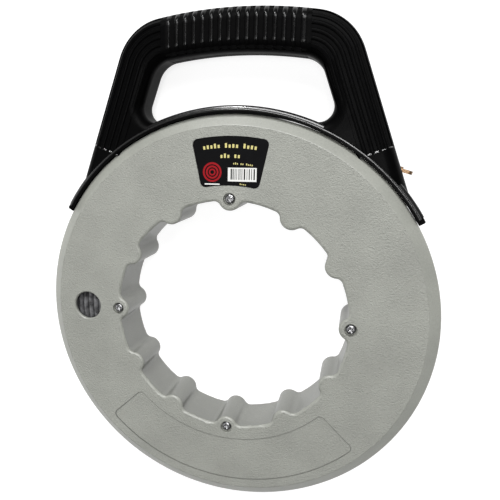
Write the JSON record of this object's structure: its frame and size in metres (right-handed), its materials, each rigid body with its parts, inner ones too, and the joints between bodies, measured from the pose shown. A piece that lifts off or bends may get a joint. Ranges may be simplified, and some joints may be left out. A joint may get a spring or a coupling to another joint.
{
  "type": "fish tape reel",
  "caption": "Round hand reel with a finger-grooved hub that spins inside an arched carrying handle, winding a long stiff pulling tape that leaves through the handle's foot.",
  "frame": {"origin": "on the reel's axis, in the plane of its back face, which it lies on", "axes": "+Z is the reel's axis, from the back face to the front face; +Y goes from the axis to the middle of the grip; +X is to the right with the front face towards the viewer"},
  "size_m": [0.3, 0.3713, 0.04],
  "materials": {
    "case_grey": "fine sandblast texture, smooth satin chamfer",
    "handle_black": "glossy moulded plastic",
    "grip_black": "glossy ribbed overmould",
    "label_film": null,
    "screw_steel": "bright zinc plate",
    "insert_brass": "knurled, turned",
    "tape_black": "smooth nylon jacket",
    "tip_brass": "tarnished, satin",
    "shoe_natural": "natural acetal",
    "guide_steel": "turned, satin"
  },
  "bodies": {
    "reel": {"front_case": "case_grey", "back_case": "case_grey", "case_screws": "screw_steel", "case_inserts": "insert_brass", "front_label": "label_film", "back_label": "label_film", "wound_tape": "tape_black", "anchor_pin": "screw_steel", "anchor_ring": "tip_brass"},
    "handle": {"handle_front": "handle_black", "handle_back": "handle_black", "grip_inlay_front": "grip_black", "grip_inlay_back": "grip_black", "handle_screws": "screw_steel", "handle_inserts": "insert_brass", "shoe_right": "shoe_natural", "shoe_left": "shoe_natural", "tape_guide": "guide_steel"},
    "tape_end": {"tape_end": "tape_black", "tip_ferrule": "tip_brass", "tip_eye": "tip_brass"}
  },
  "joints": [
    {"name": "reel_spin", "type": "hinge", "parent": "reel", "child": "handle", "pos_m": [0, 0, 0.02], "axis": [0, 0, 1], "continuous": true},
    {"name": "tape_pull", "type": "slide", "parent": "handle", "child": "tape_end", "axis": [0.9593, -0.2823, 0], "range_m": [0, 0.03]}
  ]
}
